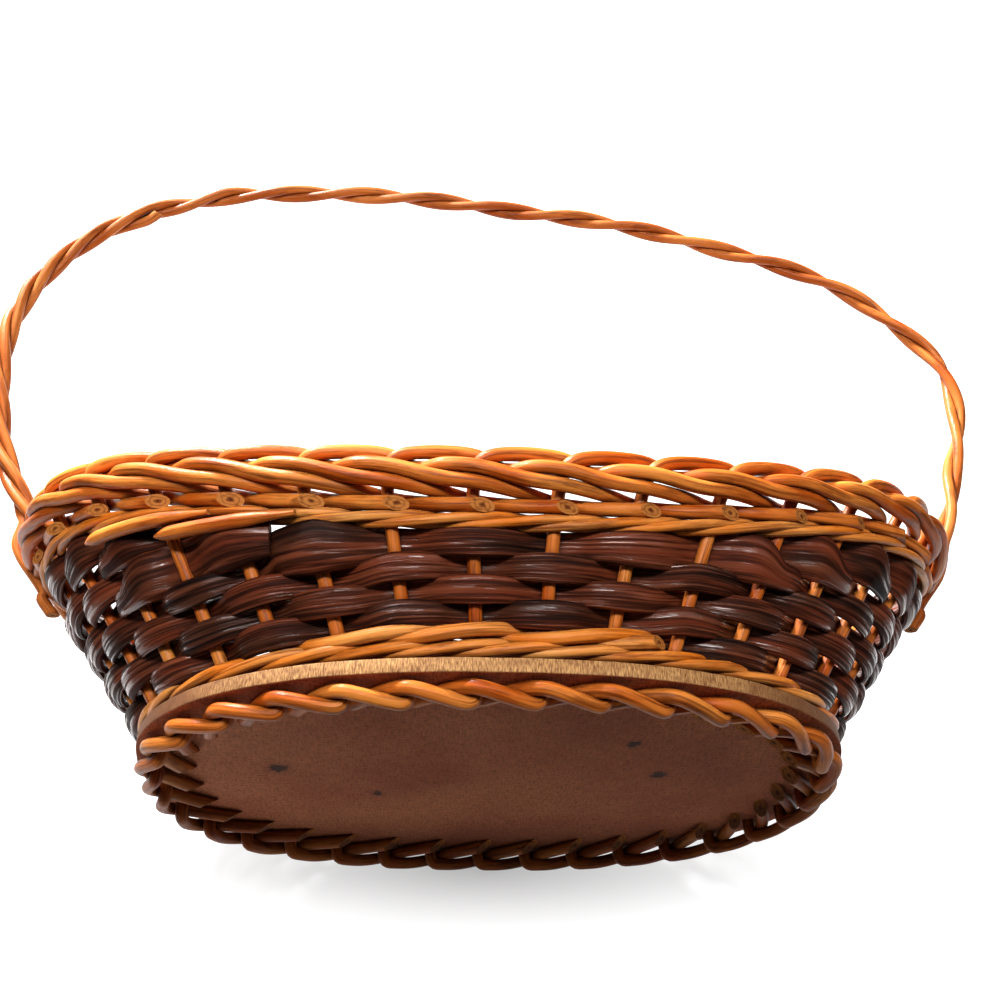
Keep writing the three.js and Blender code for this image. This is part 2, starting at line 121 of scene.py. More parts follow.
wall_at_side = sill + 2 * wale_height + SIDE_ROWS * row_pitch + top_of_wall
wall_at_end = sill + above_sill_at_end
print("the wall is", round(wall_at_side), "mm high at the sides and", round(wall_at_end), "mm at the ends")

# %% [markdown]
# ## The shape of the wall
#
# Seen from above, the board and the rim are superellipses, a little squarer than ellipses. Stakes are set
# at even distances round them, so the ovals are walked at an even pace rather than by angle. The wall
# runs straight from the ring of holes to the rim, and it is higher at the ends.

# %% Ovals walked at an even pace
def even_oval(length, width, power):
    """Return a function from shares of the way round to points. Share 0 is the middle of the near side."""
    angle = (np.arange(961) / 960 - 0.25) * 2 * np.pi
    c, s = np.cos(angle), np.sin(angle)
    x = length / 2 * np.sign(c) * np.abs(c) ** (2 / power)
    y = width / 2 * np.sign(s) * np.abs(s) ** (2 / power)
    walked = np.concatenate([[0], np.cumsum(np.hypot(np.diff(x), np.diff(y)))])

    def at(share):
        place = np.mod(share, 1) * walked[-1]
        return np.stack([np.interp(place, walked, x), np.interp(place, walked, y)], axis=-1)

    return at


board_oval = even_oval(BOARD_LENGTH, BOARD_WIDTH, BOARD_POWER)
hole_oval = even_oval(BOARD_LENGTH - 2 * HOLE_INSET, BOARD_WIDTH - 2 * HOLE_INSET, BOARD_POWER)
rim_oval = even_oval(RIM_LENGTH, RIM_WIDTH, RIM_POWER)
right_end = (0.25 - FIRST_STAKE_SHARE) * STAKES
back_middle = (0.5 - FIRST_STAKE_SHARE) * STAKES
left_end = (0.75 - FIRST_STAKE_SHARE) * STAKES


def share_of(station):
    """Stations count stakes, and station 0 is the stake in front, right of the middle."""
    return np.asarray(station, float) / STAKES + FIRST_STAKE_SHARE


def rim_place(share):
    """The top of each stake stands a little further round than its hole."""
    return rim_oval(share + TOP_SHIFT / STAKES)


def heading_on(oval, share):
    return oval(share + 0.5 / STAKES) - oval(share - 0.5 / STAKES)


def unit(rows):
    return rows / np.linalg.norm(rows, axis=-1, keepdims=True)


# %% Points of the wall and of the foot
def wall_length(station):
    """The slanting way up the wall, from the top of the board to the top rods of the rim."""
    towards_end = np.abs(np.sin(2 * np.pi * (share_of(station) + TOP_SHIFT / STAKES)))
    lift = 1 - (1 - towards_end ** LIFT_POWER) ** LIFT_EASE
    return wall_at_side + (wall_at_end - wall_at_side) * lift


def on_wall(station, rise, outward):
    """Points of the wall, and the way out of it there. Rise is measured up the slant."""
    station, rise, outward = np.broadcast_arrays(*(np.asarray(v, float) for v in (station, rise, outward)))
    share = share_of(station)
    low = hole_oval(share)
    lean = rim_place(share) - low
    length = wall_length(station)
    climb = np.sqrt(length ** 2 - (lean ** 2).sum(axis=-1))
    up = np.concatenate([lean, climb[..., None]], axis=-1) / length[..., None]
    part = np.clip(rise / length, 0, 1)[..., None]
    heading = heading_on(hole_oval, share) * (1 - part) + heading_on(rim_place, share) * part
    heading = np.concatenate([heading, np.zeros_like(part)], axis=-1)
    out = unit(np.cross(heading, up))
    at = np.concatenate([low, np.full_like(part, board_top)], axis=-1)
    return at + up * rise[..., None] + out * outward[..., None], out


def on_foot(station, outward, height):
    """Points under the board. The way out is square to the ring of holes, and height is from the ground."""
    share = share_of(station)
    x, y = np.moveaxis(hole_oval(share), -1, 0)
    ahead_x, ahead_y = np.moveaxis(unit(heading_on(hole_oval, share)), -1, 0)
    return np.stack([x + ahead_y * outward, y - ahead_x * outward, height], -1)


print("the wall leans out by", round(math.degrees(end_lean)), "degrees at the ends")


# %% [markdown]
# ## Smooth lines
#
# Willow bends in smooth curves, so the rows of a table are joined by a centripetal Catmull-Rom line. It
# goes through every row, and unlike a plain one it makes no loops where rows lie close together.

# %% Smooth lines through rows of numbers
def smooth_line(rows, step, weights=(1, 1, 1)):
    """A smooth line through the rows, as points that lie about `step` apart."""
    rows = np.asarray(rows, float)
    lengths = np.linalg.norm(np.diff(rows, axis=0) * weights, axis=1)
    knots = np.concatenate([[0], np.cumsum(np.sqrt(lengths))])
    slopes = np.diff(rows, axis=0) / np.diff(knots)[:, None]
    wide = (rows[2:] - rows[:-2]) / (knots[2:] - knots[:-2])[:, None]
    tangents = np.concatenate([slopes[:1], slopes[:-1] - wide + slopes[1:], slopes[-1:]])
    pieces = []
    for i, length in enumerate(lengths):
        t = np.linspace(0, 1, max(4, int(length / step * 2)), endpoint=False)[:, None]
        h = knots[i + 1] - knots[i]
        pieces.append(
            (1 + 2 * t) * (1 - t) ** 2 * rows[i] + t * (1 - t) ** 2 * h * tangents[i]
            + t ** 2 * (3 - 2 * t) * rows[i + 1] + t ** 2 * (t - 1) * h * tangents[i + 1]
        )
    return np.concatenate([*pieces, rows[-1:]])


def even_steps(points, step):
    """The same line with its points at even distances."""
    walked = np.concatenate([[0], np.cumsum(np.linalg.norm(np.diff(points, axis=0), axis=1))])
    places = np.linspace(0, walked[-1], max(2, round(walked[-1] / step)) + 1)
    return np.stack([np.interp(places, walked, column) for column in points.T], axis=-1)


def eased(points, times):
    """Each point drawn towards its neighbours a few times, which takes the corner out of a join."""
    points = points.copy()
    for _ in range(times):
        points[1:-1] = points[1:-1] / 2 + (points[:-2] + points[2:]) / 4
    return points


def smoothstep(value, start, end):
    t = np.clip((value - start) / (end - start), 0, 1)
    return t * t * (3 - 2 * t)


def between(table, station):
    """Rows of a table between its stations, joined smoothly."""
    station = np.asarray(station, float)
    result = np.full_like(station, table[0][1])
    for (start, a), (end, b) in zip(table, table[1:]):
        result = np.where(station >= start, a + (b - a) * smoothstep(station, start, end), result)
    return result


# %% [markdown]
# ## Paths of the rods
#
# Now the tables become paths. A stake is worked out in three stretches: foot, wall and rim.

# %% Paths of the stakes
STEP = 1.5  # millimetres between the rings of a thick rod
TABLE_STEP = 0.3  # between the points of a table's smooth line, in rod diameters
ROUND_COUNTS = (6, 1, 1)  # a stake further on weighs as much as six diameters


def stake_path(station):
    through = [[0, 0, -STAKE / 2 / rod_step], [0, 0, BOARD_THICKNESS / rod_step]]
    foot = smooth_line(np.concatenate([FOOT_PATH, through]), TABLE_STEP, ROUND_COUNTS)
    foot = on_foot(station - foot[:, 0], foot[:, 1] * rod_step, underside + foot[:, 2] * rod_step)
    start = [[0, 0, -wall_length(station) / rod_step]]
    rim = smooth_line(np.concatenate([start, RIM_PATH]), TABLE_STEP, ROUND_COUNTS)
    places = station + rim[:, 0]
    rim, _ = on_wall(places, wall_length(places) + rim[:, 2] * rod_step, rim[:, 1] * rod_step)
    return eased(even_steps(np.concatenate([foot, rim[1:]]), STEP), 2)


print("a stake is", round(len(stake_path(0)) * STEP), "mm long")

# %% Paths of the waled bands
WALE_STEP = 1.3
SUNK = 0.6  # how far the rows above a band settle into it, where the solids keep their gap
APART = 0.02  # how far a rod stops before the place where one starts, in stakes


def wale_path(phase, first, last, base_of):
    """Waling from one station to another, behind the stake at phase and every third from it."""
    rows = []
    for start in np.arange(phase - 3, last + 3, 3):
        rows += [[start + on, outward * wale_outward, up * thin_step] for on, outward, up in WALE_PATH[:-1]]
    line = smooth_line(rows, 1.0, (30, 1, 1))
    line = line[(line[:, 0] >= first) & (line[:, 0] <= last)]
    rise = base_of(line[:, 0]) + clear_of_board - wale_low + line[:, 2]
    return even_steps(on_wall(line[:, 0], rise, line[:, 1])[0], WALE_STEP)


def lower_band(station):
    return sill


def second_layer(station):
    return sill + wale_height - SUNK


def upper_band(station):
    return wall_length(station) - top_of_wall


print("a waled rod is", round(len(wale_path(0, 0, STAKES, lower_band)) * WALE_STEP), "mm long")

# %% [markdown]
# The dark weave is one line that goes round and round. A place on it is counted in stakes from its start.
# With an odd number of stakes it passes behind at every even count and in front at every odd one, so it
# changes sides at each turn. The second layer of the lower band lifts it along the front.

# %% Paths of the dark strands
strand_outward = (STAKE + STRAND_THICKNESS) / 2 + 2 * GAP
STRAND_STEP = 1.6
STAKE_GAP = 30  # about how far apart the stakes are, for the number of points
TAIL = 0.3
SQUEEZE, BROAD = 0.45, 1.9  # the lowest and the highest that a row gets, in rows
LAYER_START, LAYER_END = 27, 32.3
layer = wale_height / row_pitch
CLIMB = [
    [0, 0], [LAYER_START - 1.2, 0], [LAYER_START + 0.4, 0.55 * layer], [LAYER_START + 1.3, 0.6 * layer],
    [LAYER_START + 2, layer], [LAYER_END, layer], [STAKES, 1],
]
ROW_SPREAD = [
    [0, 1], [right_end, 1 + END_SPREAD], [back_middle, 1 + FAR_SPREAD], [left_end, 1 + END_SPREAD],
    [LAYER_START, 1], [STAKES, 1],
]


def row_place(count):
    """Where a row lies on the wall, how far the next one is above it, and its room below the upper band."""
    count = np.asarray(count, float)
    station = np.mod(count, STAKES)
    pitch = row_pitch * between(ROW_SPREAD, station)
    low = sill + wale_height + between(CLIMB, station) * row_pitch + np.floor(count / STAKES) * pitch
    return low, pitch, wall_length(count) - top_of_wall - low


def end_reach(row, end):
    """The first and last count of a short strand, which is as long as there is room for it."""
    middle = 2 * round((row * STAKES + end) / 2)
    first = last = middle
    while row_place(first - 2 - TAIL)[2] >= SQUEEZE * row_pitch:
        first -= 2
    while row_place(last + 2 + TAIL)[2] >= SQUEEZE * row_pitch:
        last += 2
    return first - TAIL, last + TAIL


WEAVE_END = 159.4
CROSSING, STAY_OUT, FULL_SIDE = 1.15, 0.25, 0.886  # how sharply and how late a strand changes sides
end_reaches = {
    (side, row - 4): end_reach(row, end)
    for row in range(5, 9) for side, end in (("right", right_end), ("left", left_end))
}


def row_above(count):
    """1 where another row lies above this place, and 0 a little way past the end of that row."""
    above = np.asarray(count, float) + STAKES
    reaches = [(-TAIL, WEAVE_END), *end_reaches.values()]
    past = [np.maximum(first - above, above - last) for first, last in reaches]
    return 1 - smoothstep(np.min(past, axis=0), -0.5, 0.1)


def strand_height(count):
    """A row is pressed flatter under the upper band, and spreads up to it where no row lies above."""
    low, pitch, room = row_place(count)
    broad = np.minimum(room, BROAD * pitch)
    share = row_above(count)
    height = broad * (1 - share) + np.minimum(room, pitch) * share
    return low + height / 2 - SUNK, height


def strand_path(first, last):
    """Points of a strand, the ways out of the wall there, and its girth, which is full at each stake."""
    counts = np.linspace(first, last, max(8, int((last - first) * STAKE_GAP / STRAND_STEP)))
    rise, height = strand_height(counts)
    in_front = -np.cos(np.pi * counts)
    side = np.tanh(CROSSING * in_front + STAY_OUT) / FULL_SIDE
    at, out = on_wall(counts, rise, side * strand_outward)
    return at, out, (height - GAP) / STRAND_WIDTH * (1.1 + 0.1 * in_front ** 2)


print("the short strands pass", [round(last - first) for first, last in end_reaches.values()], "stakes")

# %% [markdown]
# The handle's middle line is an arch over the basket. Three rods twist round it from the left end. One of
# them stops at a splice, and the other two settle opposite each other and go on to the right end.

# %% Paths of the handle rods
ARCH_HEIGHT = 260
ARCH = np.array([
    [-1.037, 0.07], [-1.087, 0.143], [-1.142, 0.235], [-1.181, 0.347], [-1.206, 0.458],
    [-1.209, 0.566], [-1.174, 0.685], [-1.083, 0.812], [-0.936, 0.91], [-0.775, 0.968],
    [-0.573, 0.993], [-0.362, 1.0], [-0.161, 0.991], [0.069, 0.964], [0.317, 0.937],
    [0.484, 0.904], [0.651, 0.858], [0.812, 0.812], [0.963, 0.745], [1.101, 0.627],
    [1.179, 0.531], [1.194, 0.439], [1.177, 0.335], [1.138, 0.239], [1.108, 0.15], [1.06, 0.07],
])
TWIST_LENGTH = 84
HELD = 0.9  # the rods lie this share as far from each other as the solids do
SPLICE, SPLICE_TAIL, SETTLE = 0.29, 0.025, 0.09

right_top, left_top = right_end - TOP_SHIFT, left_end - TOP_SHIFT
rim_end_height = on_wall(left_top, wall_length(left_top), 0)[0][2]
arch_across, arch_up = ARCH.T
arch_rows = np.stack([arch_across * RIM_LENGTH / 2, 0 * arch_up, rim_end_height + arch_up * ARCH_HEIGHT], -1)
arch = even_steps(smooth_line(arch_rows, 2.0), 1.0)
handle_turns = round((len(arch) - 1) / TWIST_LENGTH)
handle_step = HANDLE_ROD + GAP


def twist_path(rod, last):
    along = np.linspace(0, last, int(handle_turns * 12 * last))
    places = along * (len(arch) - 1)
    point, heading = (
        np.stack([np.interp(places, range(len(arch)), column) for column in rows.T], -1)
        for rows in (arch, np.gradient(arch, axis=0))
    )
    heading = unit(heading)
    settled = smoothstep(along, SPLICE, SPLICE + SETTLE)
    tail = smoothstep(along, SPLICE - SPLICE_TAIL, SPLICE)
    angle = 2 * np.pi * handle_turns * along + [0, np.pi * (2 + settled) / 3, np.pi * 4 / 3][rod]
    radius = HELD * handle_step * ((1 - settled) / math.sqrt(3) + settled / 2)
    if rod == 2:
        radius = radius + tail * handle_step / 2
    outward = np.stack([-heading[:, 2], 0 * along, heading[:, 0]], -1)
    point = point + outward * (radius * np.cos(angle))[:, None]
    point[:, 1] += radius * np.sin(angle)
    return point


print("the handle's rods go round each other", handle_turns, "times")

# %% Ends of the handle rods, at the rim
weave_lie = strand_outward + STRAND_THICKNESS / 2 + handle_step / 2 + GAP / 2
outside_lie = rim_outside - 0.5
inside_lie = rim_inside + handle_step / 2 + GAP / 2
below_rim = rim_depth + RIM_AIR
OUTSIDE_END = [
    [0.8 * outside_lie, 1.9 * handle_step], [outside_lie, 0.45 * handle_step], [outside_lie, -rim_depth],
    [weave_lie, -below_rim], [weave_lie, -below_rim - wale_height - handle_step],
]
INSIDE_END = [
    [-0.45 * inside_lie, 1.6 * handle_step], [-0.87 * inside_lie, 0.88 * handle_step], [-inside_lie, 0],
    [-inside_lie, -rim_depth], [-weave_lie, -below_rim], [-weave_lie, -2 * below_rim],
]


def end_rows(end, rows, sideways):
    """Points of an end, on the wall at one station, moved a little to one side."""
    outward, up = np.array(rows).T
    at, _ = on_wall(end, wall_length(end) + up, outward)
    at[:, 1] += sideways
    return at


def handle_path(rod):
    if rod == 0:
        left = end_rows(left_top, OUTSIDE_END, 0)[::-1]
        rows = [left, twist_path(0, 1), end_rows(right_top, OUTSIDE_END, 0)]
    elif rod == 1:
        left = end_rows(left_top, INSIDE_END, handle_step / 2)[::-1]
        rows = [left, twist_path(1, 1), end_rows(right_top, INSIDE_END, 0)]
    else:
        left = end_rows(left_top, INSIDE_END, -handle_step / 2)[::-1]
        rows = [left, twist_path(2, SPLICE)]
    return even_steps(smooth_line(np.concatenate(rows), 1.0), STEP)


# %% Paths of the two finishing rods, just below the rim
FINISHING = [([24.7, 1.5], [26.75, 1.14]), ([25.9, 1.58], [27.85, 1.12])]  # stations, and depths of the rim
FINISHING_POINTS = 60
lie_on_weave = strand_outward + STRAND_THICKNESS / 2 + GAP + STAKE / 2
lie_on_band = wale_outward + (THIN_ROD + STAKE) / 2


def finishing_path(first, last):
    station, down = np.linspace(first, last, FINISHING_POINTS).T
    outward = np.linspace(lie_on_weave, lie_on_band, FINISHING_POINTS)
    return even_steps(on_wall(station, wall_length(station) - down * rim_depth, outward)[0], STEP)


print("the finishing rods are", [round(len(finishing_path(*row)) * STEP) for row in FINISHING], "mm long")

# %% [markdown]
# ## From a path to a rod
#
# A rod is a round section carried along its path. Geometry Nodes does this with Curve to Mesh. The same
# tree makes the flat strands, because it takes the width, the thickness and the fullness of the section.
# The curve's own normal would turn at random, so each path brings a direction that its section faces.
#
# The tree also keeps numbers on every point for the materials: where it lies in the section, how far along
# the rod it is, and the tone of its rod. With them the grain runs along the rod however it bends.

# %% A helper that adds a node
def socket_of(sockets, name):
    """The socket at a place in the list, or the one in use that has the name."""
    if isinstance(name, int):
        return sockets[name]
    named = [socket for socket in sockets if socket.name == name]
    return next((socket for socket in named if socket.enabled), named[0])


def fill_inputs(node, inputs):
    """Fill or link inputs of a node, given in order or by name."""
    for name, value in inputs.items() if isinstance(inputs, dict) else enumerate(inputs):
        socket = socket_of(node.inputs, name)
        if isinstance(value, bpy.types.NodeSocket):
            node.id_data.links.new(value, socket)
        else:
            socket.default_value = value


def add_node(tree, kind, inputs=(), operation=None, output=0, **options):
    """Add a node, set it up, fill or link its inputs, and return one of its outputs."""
    node = tree.nodes.new(kind)
    if operation:
        node.operation = operation
    for name, value in options.items():
        setattr(node, name, value)
    fill_inputs(node, inputs)
    node.location = (190 * (len(tree.nodes) % 12), -260 * (len(tree.nodes) // 12))
    return socket_of(node.outputs, output)


def adder_for(tree):
    """The same function for one tree, so that a call says only what it adds."""
    return partial(add_node, tree)


# %% The numbers that the tree works with
ON_PATH = {"facing": "FLOAT_VECTOR", "cut_faces": "FLOAT_VECTOR", "girth": "FLOAT"}
ON_ROD = {
    "in_section": "FLOAT_VECTOR", "along": "FLOAT", "to_end": "FLOAT", "heading": "FLOAT_VECTOR",
    "middle": "FLOAT_VECTOR", "straight": "FLOAT_VECTOR", "tone": "FLOAT",
}


def keep_on_points(add, geometry, values):
    """Store values on every point under their names."""
    for name, value in values.items():
        stored = {"Geometry": geometry, "Name": name, "Value": value}
        geometry = add("GeometryNodeStoreNamedAttribute", stored, data_type=ON_ROD[name], domain="POINT")
    return geometry


# %% The section of a rod
def add_section(add, sides, width, thickness, fullness):
    """A closed section with radius 1 shaped to its width, thickness and fullness. 2 is round."""
    circle = add("GeometryNodeCurvePrimitiveCircle", {"Resolution": sides, "Radius": 1.0})
    place = add("GeometryNodeInputPosition")
    split = add("ShaderNodeSeparateXYZ", [place]).node.outputs
    power = add("ShaderNodeMath", (2.0, fullness), "DIVIDE")
    shaped = []
    for axis, size in (("X", thickness), ("Y", width)):
        distance = add("ShaderNodeMath", [split[axis]], "ABSOLUTE")
        rounded = add("ShaderNodeMath", (distance, power), "POWER")
        sign = add("ShaderNodeMath", [split[axis]], "SIGN")
        signed = add("ShaderNodeMath", (rounded, sign), "MULTIPLY")
        half = add("ShaderNodeMath", (size, 2.0), "DIVIDE")
        shaped.append(add("ShaderNodeMath", (signed, half), "MULTIPLY"))
    joined = add("ShaderNodeCombineXYZ", shaped)
    moved = add("GeometryNodeSetPosition", {"Geometry": circle, "Position": joined})
    return keep_on_points(add, moved, {"in_section": place})


# %% The tree that makes a rod along a path
rod_tree = bpy.data.node_groups.new("Rod along a path", "GeometryNodeTree")
rod_tree.interface.new_socket("Geometry", in_out="INPUT", socket_type="NodeSocketGeometry")
ROD_INPUTS = {
    "Sides": "Int", "Width": "Float", "Thickness": "Float", "Fullness": "Float", "Unevenness": "Float",
    "Ridges": "Float", "Cut slant": "Float", "Tone": "Float", "Bark": "Material", "Cut wood": "Material",
}
for socket_name, socket_kind in ROD_INPUTS.items():
    rod_tree.interface.new_socket(socket_name, in_out="INPUT", socket_type="NodeSocket" + socket_kind)
rod_tree.interface.new_socket("Geometry", in_out="OUTPUT", socket_type="NodeSocketGeometry")

SWELLINGS = (160, 160, 38)  # to the metre, across the rod twice and along it
RIDGE_LINES = (620, 620, 12)
SWELL_TURN, GRAIN_TURN = 91, 37  # times a rod's tone, these give each rod its own patterns
CUT_REACH = 0.012  # metres of a rod's end that a slanting cut may move


def slanted_ends(add, rod, numbers, slant):
    """Slide the points of each end ring along the rod, so that the cut faces a given way."""
    place = add("GeometryNodeInputPosition")
    offset = add("ShaderNodeVectorMath", (place, numbers["middle"]), "SUBTRACT")
    faces = add("ShaderNodeVectorMath", (offset, numbers["cut_faces"]), "DOT_PRODUCT", "Value")
    ends = []
    for name in ("along", "to_end"):
        part = add("ShaderNodeMath", (numbers[name], CUT_REACH), "DIVIDE")
        ends.append(add("ShaderNodeMath", (1.0, part), "SUBTRACT", use_clamp=True))
    which = add("ShaderNodeMath", ends, "SUBTRACT")
    amount = add("ShaderNodeMath", (which, slant), "MULTIPLY")
    amount = add("ShaderNodeMath", (faces, amount), "MULTIPLY")
    slide = add("ShaderNodeVectorMath", {"Vector": numbers["heading"], "Scale": amount}, "SCALE")
    return add("GeometryNodeSetPosition", {"Geometry": rod, "Offset": slide})


def swollen(add, rod, numbers, amount, counts):
    """Push the surface out and in by noise, because willow is never quite round or even."""
    coords = add("ShaderNodeVectorMath", (numbers["straight"], counts), "MULTIPLY")
    turn = add("ShaderNodeMath", (numbers["tone"], SWELL_TURN), "MULTIPLY")
    noise = {"Vector": coords, "W": turn, "Scale": 1.0, "Detail": 2.0}
    noise = add("ShaderNodeTexNoise", noise, noise_dimensions="4D")
    swell = add("ShaderNodeMath", (noise, 0.5), "SUBTRACT")
    swell = add("ShaderNodeMath", (swell, amount), "MULTIPLY")
    normal = add("GeometryNodeInputNormal")
    push = add("ShaderNodeVectorMath", {"Vector": normal, "Scale": swell}, "SCALE")
    return add("GeometryNodeSetPosition", {"Geometry": rod, "Offset": push})


def fill_rod_tree(tree):
    add = adder_for(tree)
    given = add("NodeGroupInput").node.outputs
    numbers = {
        name: add("GeometryNodeInputNamedAttribute", {"Name": name}, output="Attribute", data_type=kind)
        for name, kind in {**ON_PATH, **ON_ROD}.items()
    }
    line = add("GeometryNodeMeshToCurve", {"Mesh": given["Geometry"]})
    line = add("GeometryNodeSetCurveNormal", {"Curve": line, "Normal": numbers["facing"]}, mode="FREE")
    along = add("GeometryNodeSplineParameter", output="Length")
    whole = add("GeometryNodeSplineLength", output="Length")
    line = keep_on_points(add, line, {
        "along": along,
        "to_end": add("ShaderNodeMath", (whole, along), "SUBTRACT"),
        "heading": add("GeometryNodeInputTangent"),
        "middle": add("GeometryNodeInputPosition"),
    })
    section = add_section(add, given["Sides"], given["Width"], given["Thickness"], given["Fullness"])
    rod = add("GeometryNodeCurveToMesh", {
        "Curve": line, "Profile Curve": section, "Scale": numbers["girth"], "Fill Caps": True,
    })
    split = add("ShaderNodeSeparateXYZ", [numbers["in_section"]]).node.outputs
    straight = add("ShaderNodeCombineXYZ", (split["X"], split["Y"], numbers["along"]))
    rod = keep_on_points(add, rod, {"straight": straight, "tone": given["Tone"]})
    rod = slanted_ends(add, rod, numbers, given["Cut slant"])
    rod = swollen(add, rod, numbers, given["Unevenness"], SWELLINGS)
    rod = swollen(add, rod, numbers, given["Ridges"], RIDGE_LINES)

    # The faces along a rod have four corners, so a face with more corners is a cut end.
    corners = add("GeometryNodeInputMeshFaceNeighbors", output="Vertex Count")
    is_cut = add("ShaderNodeMath", (corners, 4.5), "GREATER_THAN")
    rod = add("GeometryNodeSetShadeSmooth", (rod, True, True))
    rod = add("GeometryNodeSetShadeSmooth", (rod, is_cut, False))
    rod = add("GeometryNodeRealizeInstances", [rod])
    rod = add("GeometryNodeSetMaterial", (rod, True, given["Bark"]))
    rod = add("GeometryNodeSetMaterial", (rod, is_cut, given["Cut wood"]))
    fill_inputs(tree.nodes.new("NodeGroupOutput"), [rod])


fill_rod_tree(rod_tree)
print("the rod tree has", len(rod_tree.nodes), "nodes")

# %% [markdown]
# The solid model stands on the ground and is centred by its outermost rods. The board's box says where
# that puts the middle line of these paths.

# %% From millimetres of the paths to metres of the scene
low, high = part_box("base_board")
origin = np.array([(low.x + high.x) / 2, (low.y + high.y) / 2, high.z - board_top / 1000])


def facing_along(points, first):
    """Carry a direction along a path without twist."""
    heading = unit(np.gradient(points, axis=0))
    facing = np.empty_like(points)
    side = np.array(first, float)
    for i, ahead in enumerate(heading):
        side = side - ahead * side.dot(ahead)
        side = side / np.linalg.norm(side)
        facing[i] = side
    return facing


def square_to(points, outs):
    """The outward directions, made square to the path."""
    heading = unit(np.gradient(points, axis=0))
    return unit(outs - heading * (outs * heading).sum(axis=1, keepdims=True))


def in_scene(name, data):
    """A new object in the scene, with this data."""
    made = bpy.data.objects.new(name, data)
    bpy.context.scene.collection.objects.link(made)
    return made


def make_rod(name, points, facing, girth, cuts, settings):
    """Turn a path in millimetres into a rod in metres. Cuts are the ways that its two ends face."""
    points = points / 1000 + origin
    mesh = bpy.data.meshes.new(name + "_path")
    mesh.from_pydata(points.tolist(), [(i, i + 1) for i in range(len(points) - 1)], [])
    half = len(points) // 2
    cut_faces = np.repeat(np.array(cuts, float), [half, len(points) - half], axis=0)
    girth = np.broadcast_to(np.asarray(girth, float), len(points))
    for label, values in (("facing", facing), ("cut_faces", cut_faces), ("girth", girth)):
        field = "value" if ON_PATH[label] == "FLOAT" else "vector"
        mesh.attributes.new(label, ON_PATH[label], "POINT").data.foreach_set(field, values.ravel())
    piece = in_scene(name, mesh)
    modifier = piece.modifiers.new("rod", "NODES")
    modifier.node_group = rod_tree
    for item in rod_tree.interface.items_tree:
        if item.in_out == "INPUT" and item.name in settings:
            modifier[item.identifier] = settings[item.name]
    evaluated = piece.evaluated_get(bpy.context.evaluated_depsgraph_get())
    solid = bpy.data.meshes.new_from_object(evaluated)
    piece.modifiers.clear()
    piece.data = solid
    solid.name = name
    bpy.data.meshes.remove(mesh)
    return piece


# %% [markdown]
# ## Finishes
#
# Colours are written as they look on a screen, so they are first turned into the linear values that
# Blender works in. A finish is built up like the real one: a base, and then one stain after another, each
# laid on where a pattern is strong. The fineness of a pattern is its number of grains to the metre.

# %% Colours, grain and stains
def colour(code):
    """A screen colour such as #c8702a in linear values."""
    parts = [int(code[i:i + 2], 16) / 255 for i in (1, 3, 5)]
    return (*(p / 12.92 if p <= 0.04045 else ((p + 0.055) / 1.055) ** 2.4 for p in parts), 1.0)


def new_material(name):
    material = bpy.data.materials.new(name)
    material.use_nodes = True
    return material, material.node_tree.nodes["Principled BSDF"], adder_for(material.node_tree)


def grain(add, place, counts, detail, turn=0.0):
    """Noise with so many grains to the metre along each axis. Another turn gives another pattern."""
    scaled = add("ShaderNodeVectorMath", (place, counts), "MULTIPLY")
    noise = {"Vector": scaled, "W": turn, "Scale": 1.0, "Detail": detail, "Roughness": 0.55}
    return add("ShaderNodeTexNoise", noise, noise_dimensions="4D")


def stained(add, code, *layers):
    """A colour with others laid on: none where the value is low, and a share where the value is high."""
    base = colour(code)
    for value, low, high, share, code in layers:
        amount = add("ShaderNodeMapRange", (value, low, high, 0.0, share))
        mixed = {"Factor": amount, "A": base, "B": colour(code)}
        base = add("ShaderNodeMix", mixed, output="Result", data_type="RGBA")
    return base


def rod_coordinates(add):
    """The numbers kept by the rod tree: a place in the straightened rod, its tone and its own turn."""
    straight = add("ShaderNodeAttribute", output="Vector", attribute_name="straight")
    tone = add("ShaderNodeAttribute", output="Fac", attribute_name="tone")
    return straight, tone, add("ShaderNodeMath", (tone, GRAIN_TURN), "MULTIPLY")


# %% [markdown]
# Where another piece is close by, a piece is painted darker as shade. Ambient Occlusion finds such
# places from the pieces themselves. The back of the foot, under the board, is painted dark as shade and
# left without the varnish coat: that is worked out from the place on the object.

# %% Painted shade: close pieces and the back of the foot
CREVICE_REACH = 0.0045
FOOT_SHADE_COLOUR = "#38190e"
board_bottom = float(origin[2]) + underside / 1000


def painted_crevice_shade(add, share):
    """A layer of painted shade for the places that have another piece close by."""
    near = add("ShaderNodeAmbientOcclusion", {"Distance": CREVICE_REACH}, output="AO", samples=5)
    return near, 0.85, 0.3, share, "#220802"


def painted_foot_shade(add):
    """1 on the rods under the board at the back, and 0 above it and at the front."""
    place = add("ShaderNodeTexCoord", output="Object")
    split = add("ShaderNodeSeparateXYZ", [place]).node.outputs
    below = add("ShaderNodeMapRange", (split["Z"], board_bottom + 0.001, board_bottom - 0.003))
    back = add("ShaderNodeMapRange", (split["Y"], -0.085, 0.02))
    return add("ShaderNodeMath", (below, back), "MULTIPLY")
